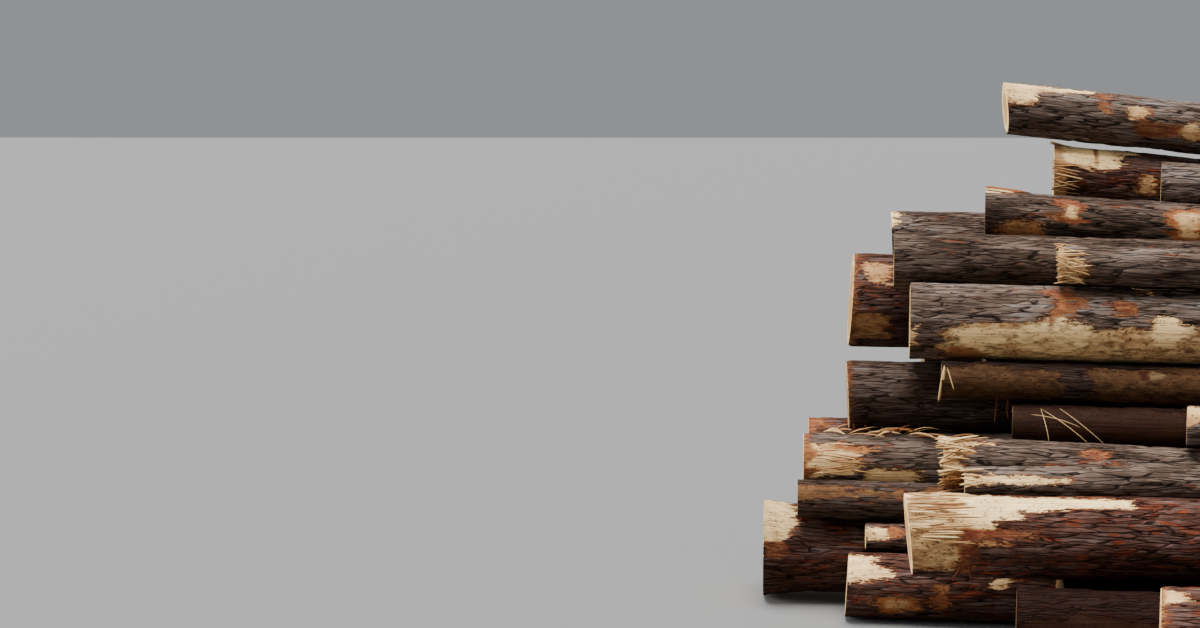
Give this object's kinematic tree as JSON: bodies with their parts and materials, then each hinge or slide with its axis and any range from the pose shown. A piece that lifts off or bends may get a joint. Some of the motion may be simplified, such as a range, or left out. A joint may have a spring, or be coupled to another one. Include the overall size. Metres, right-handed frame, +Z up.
{
  "type": "heap of logs",
  "caption": "Heap of sawn conifer logs with torn, partly peeled bark, lying side by side and on each other in rough rows.",
  "frame": {"origin": "centre of the heap's bounding box in plan, at ground level", "axes": "+X along the logs from their staggered butts to their tips, +Y from the front face of the heap to its back, +Z up"},
  "size_m": [5.43, 3.2995, 1.9024],
  "materials": {
    "grey_bark": "rough weathered grey-brown bark with peeled cream patches and pale sawn ends",
    "red_bark": "rough red-brown inner and outer bark with peeled cream patches and pale sawn ends"
  },
  "bodies": {
    "root": {"ground_log_1": "red_bark", "ground_log_10": "grey_bark", "ground_log_11": "grey_bark", "ground_log_2": "red_bark", "ground_log_3": "grey_bark", "ground_log_4": "red_bark", "ground_log_5": "red_bark", "ground_log_6": "grey_bark", "ground_log_7": "grey_bark", "ground_log_8": "grey_bark", "ground_log_9": "grey_bark", "row_2_log_1": "red_bark", "row_2_log_10": "grey_bark", "row_2_log_11": "grey_bark", "row_2_log_12": "grey_bark", "row_2_log_13": "grey_bark", "row_2_log_2": "grey_bark", "row_2_log_3": "grey_bark", "row_2_log_4": "red_bark", "row_2_log_5": "grey_bark", "row_2_log_6": "grey_bark", "row_2_log_7": "grey_bark", "row_2_log_8": "red_bark", "row_2_log_9": "grey_bark", "row_3_log_1": "grey_bark", "row_3_log_2": "red_bark", "row_3_log_3": "grey_bark", "row_3_log_4": "grey_bark", "row_3_log_5": "grey_bark", "row_3_log_6": "grey_bark", "row_3_log_7": "grey_bark", "row_3_log_8": "grey_bark", "row_4_log_1": "grey_bark", "row_4_log_2": "red_bark", "row_4_log_3": "grey_bark", "row_4_log_4": "grey_bark", "row_5_log_1": "grey_bark", "row_5_log_2": "grey_bark", "row_5_log_3": "grey_bark", "row_5_log_4": "grey_bark", "row_6_log_1": "grey_bark", "row_6_log_2": "grey_bark", "row_6_log_3": "red_bark", "top_log": "grey_bark"}
  },
  "joints": []
}
